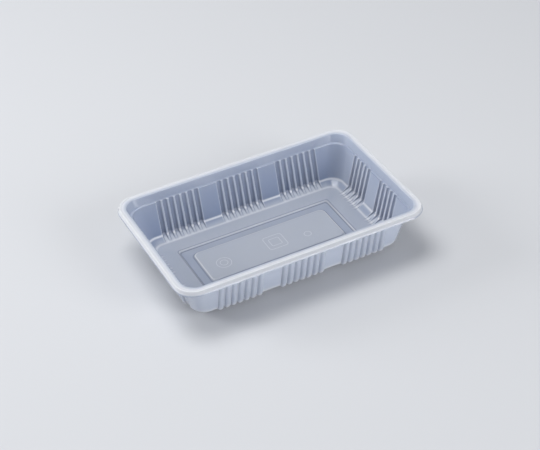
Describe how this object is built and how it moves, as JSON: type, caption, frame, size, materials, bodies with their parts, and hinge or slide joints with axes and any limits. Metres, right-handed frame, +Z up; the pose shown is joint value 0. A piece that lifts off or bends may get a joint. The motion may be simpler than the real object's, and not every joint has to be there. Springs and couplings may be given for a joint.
{
  "type": "bento container",
  "caption": "Shallow rectangular food tray of thin translucent plastic, with a rolled flange, fluted walls, a chamfered foot and a channelled floor.",
  "frame": {"origin": "on the resting plane, under the middle of the tray", "axes": "+X along the long side, +Y to the back, +Z up out of the open top"},
  "size_m": [0.2026, 0.13, 0.0406],
  "materials": {
    "natural_polypropylene": "translucent, bluish white, smooth gloss of vacuum formed sheet"
  },
  "bodies": {
    "root": {"tray": "natural_polypropylene"}
  },
  "joints": []
}
